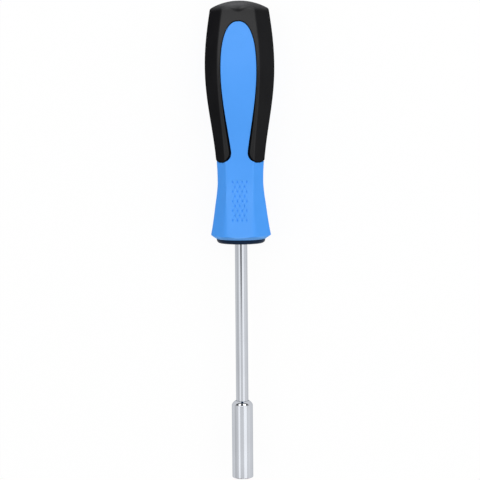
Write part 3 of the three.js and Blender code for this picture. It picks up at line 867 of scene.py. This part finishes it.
# Wire circle carried round the axis from one side of the opening to the other, with half-round ends.
def buildRing():
    r = springRing
    wire = r["wireRadius"]
    pathRadius = (ringBox[1][0] - ringBox[0][0]) / 2 - wire
    endTurn = np.linspace(0, np.pi / 2, r["endSteps"] + 1)
    start, end = r["opening"] / 2, 2 * np.pi - r["opening"] / 2
    first = start + wire / pathRadius * (1 - np.cos(endTurn))
    path = np.linspace(first[-1], 2 * np.pi - first[-1], r["pathSteps"] + 1)[1:-1]
    azimuth = np.concatenate([first, path, (start + end - first)[::-1]])
    size = wire * np.concatenate([np.sin(endTurn), np.ones(len(path)), np.sin(endTurn)[::-1]])
    turn = fullTurn(r["sectionSteps"])[None, :]
    radius = pathRadius + size[:, None] * np.cos(turn)
    grid = axisPoint(azimuth[:, None], ringAt + size[:, None] * np.sin(turn), radius)
    makePiece("springRing", [grid], "ring", "retaining_ring", springWire)


buildSleeve()
buildMagnet()
buildRing()

# Table, light and camera

studio = {
    "floorSize": 40.0, "floorColour": (0.95, 0.95, 0.95, 1), "floorRoughness": 0.6, "floorSpecular": 0.1,
    "floorWhite": 0.93,
    "boxes": {
        "leftSoftBox": {"size": (0.32, 2.4), "at": (-0.52, 0.2, 0.85), "level": 0.50},
        "rightSoftBox": {"size": (0.6, 2.4), "at": (0.58, 0.2, 0.85), "level": 0.52},
        "overheadBox": {"size": (0.7, 0.38), "at": (-0.05, 0.26, 1.0), "level": 1.25},
        "frontBox": {"size": (0.6, 0.3), "at": (0.1, -0.9, 0.9), "level": 2.4},
        "rearLeftBox": {"size": (0.5, 0.4), "at": (-0.5, 1.0, 0.6), "level": 2.6},
        "rearRightBox": {"size": (0.6, 0.4), "at": (0.5, 1.0, 0.6), "level": 3.0},
    },
    "skyTop": 0.98, "skyTopFrom": 0.9, "skyLeft": 0.74, "skyRight": 1.1,
    "skyEnds": 0.15, "skyEndsReach": (0.3, 0.7),
    "flagAt": (0.0, -0.03, 1.0), "flagShape": (0.4, 1.0, 1.0), "flagReach": (0.085, 0.13),
    "flagLevel": 0.08,
}


# White table: what the eye and the reflections see of it is lifted towards white, and the rest of it keeps
# the tool's shadow.
def buildFloor():
    half = studio["floorSize"] / 2
    corners = [(-half, -half, 0), (half, -half, 0), (half, half, 0), (-half, half, 0)]
    mesh = bpy.data.meshes.new("table")
    mesh.from_pydata(corners, [], [(0, 1, 2, 3)])
    floor = bpy.data.objects.new("table", mesh)
    bpy.context.scene.collection.objects.link(floor)
    material = bpy.data.materials.new("paleTable")
    material.use_nodes = True
    tree = material.node_tree
    shader = tree.nodes["Principled BSDF"]
    shader.inputs["Base Color"].default_value = studio["floorColour"]
    shader.inputs["Roughness"].default_value = studio["floorRoughness"]
    shader.inputs["Specular IOR Level"].default_value = studio["floorSpecular"]
    rays = addNode(tree, "ShaderNodeLightPath")
    seen = addNode(tree, "ShaderNodeMath", operation="MAXIMUM")
    either = addNode(tree, "ShaderNodeMath", operation="MAXIMUM")
    share = addNode(tree, "ShaderNodeMath", {1: studio["floorWhite"]}, operation="MULTIPLY")
    white = addNode(tree, "ShaderNodeEmission", {"Color": (1, 1, 1, 1), "Strength": 1.0})
    mix = addNode(tree, "ShaderNodeMixShader")
    joinNodes(
        tree,
        (rays, "Is Camera Ray", seen, 0), (rays, "Is Glossy Ray", seen, 1),
        (seen, "Value", either, 0), (rays, "Is Transmission Ray", either, 1),
        (either, "Value", share, 0), (share, "Value", mix, 0),
        (shader, "BSDF", mix, 1), (white, "Emission", mix, 2),
        (mix, "Shader", tree.nodes["Material Output"], "Surface"),
    )
    mesh.materials.append(material)


# Soft box turned about one level axis towards the tool's middle; its power follows from the wanted
# brightness.
def addSoftBox(name, box):
    lamp = bpy.data.lights.new(name, "AREA")
    lamp.shape = "RECTANGLE"
    lamp.size, lamp.size_y = box["size"]
    lamp.energy = box["level"] * math.pi * lamp.size * lamp.size_y
    holder = bpy.data.objects.new(name, lamp)
    across, along, up = box["at"]
    holder.location = box["at"]
    if abs(along) > abs(across):
        holder.rotation_euler = (-math.atan2(along, up), 0, 0)
    else:
        holder.rotation_euler = (0, math.atan2(across, up), 0)
    bpy.context.scene.collection.objects.link(holder)


# Room light: one level overhead that falls off to other levels at the left and right of the horizon, less
# towards both ends of the tool, and a dark flag over it.
def buildWorld():
    world = bpy.data.worlds.new("studioRoom")
    bpy.context.scene.world = world
    world.use_nodes = True
    tree = world.node_tree
    back = tree.nodes["Background"]
    place = addNode(tree, "ShaderNodeTexCoord")
    split = addNode(tree, "ShaderNodeSeparateXYZ")
    sides = {"From Min": -1.0, "From Max": 1.0, "To Min": studio["skyLeft"], "To Max": studio["skyRight"]}
    sideways = addNode(tree, "ShaderNodeMapRange", sides)
    rise = {"From Min": 0.0, "From Max": studio["skyTopFrom"]}
    height = addNode(tree, "ShaderNodeMapRange", rise, interpolation_type="SMOOTHSTEP")
    level = addNode(tree, "ShaderNodeMix", {"B": studio["skyTop"]}, data_type="FLOAT")
    ends = addNode(tree, "ShaderNodeMath", operation="ABSOLUTE")
    start, full = studio["skyEndsReach"]
    fade = {"From Min": start, "From Max": full, "To Min": 1.0, "To Max": studio["skyEnds"]}
    fading = addNode(tree, "ShaderNodeMapRange", fade)
    faded = addNode(tree, "ShaderNodeMath", operation="MULTIPLY")
    shape = addNode(tree, "ShaderNodeVectorMath", {1: studio["flagShape"]}, operation="MULTIPLY")
    away = addNode(tree, "ShaderNodeVectorMath", {1: studio["flagAt"]}, operation="DISTANCE")
    near, far = studio["flagReach"]
    edge = {"From Min": near, "From Max": far, "To Min": studio["flagLevel"]}
    flag = addNode(tree, "ShaderNodeMapRange", edge, interpolation_type="SMOOTHSTEP")
    shaded = addNode(tree, "ShaderNodeMath", operation="MULTIPLY")
    joinNodes(
        tree,
        (place, "Generated", split, "Vector"), (split, "X", sideways, "Value"), (split, "Z", height, "Value"),
        (height, "Result", level, "Factor"), (sideways, "Result", level, "A"),
        (split, "Y", ends, 0), (ends, "Value", fading, "Value"),
        (level, "Result", faded, 0), (fading, "Result", faded, 1),
        (place, "Generated", shape, 0), (shape, "Vector", away, 0), (away, "Value", flag, "Value"),
        (faded, "Value", shaded, 0), (flag, "Result", shaded, 1), (shaded, "Value", back, "Strength"),
    )
    back.inputs["Color"].default_value = (1, 1, 1, 1)


photoView = {
    "height": 725.0, "footAt": 48.0, "sideways": 35.0, "aimAt": 114.0, "aimAcross": -0.5,
    "lens": 113.6, "roll": 0.45, "clip": (0.01, 100),
}


# Camera over the handle, aimed at the tool's middle and rolled about its own line of sight.
def addCamera():
    v = photoView
    eye = Vector((v["sideways"], rearY - v["footAt"], axisZ + v["height"])) * mm
    target = Vector((v["aimAcross"], rearY - v["aimAt"], axisZ)) * mm
    ahead = (target - eye).normalized()
    right = ahead.cross(Vector((0, 1, 0))).normalized()
    up = right.cross(ahead)
    turn = math.radians(v["roll"])
    cosine, sine = math.cos(turn), math.sin(turn)
    right, up = right * cosine - up * sine, up * cosine + right * sine
    camera = bpy.data.objects.new("photoCamera", bpy.data.cameras.new("photoCamera"))
    camera.data.lens = v["lens"]
    camera.data.clip_start, camera.data.clip_end = v["clip"]
    camera.matrix_world = Matrix((
        (right.x, up.x, -ahead.x, eye.x),
        (right.y, up.y, -ahead.y, eye.y),
        (right.z, up.z, -ahead.z, eye.z),
        (0, 0, 0, 1),
    ))
    bpy.context.scene.collection.objects.link(camera)
    bpy.context.scene.camera = camera


buildFloor()
for boxName, boxPlan in studio["boxes"].items():
    addSoftBox(boxName, boxPlan)
buildWorld()
addCamera()
bpy.context.scene.view_settings.view_transform = "Standard"
print("studio set")
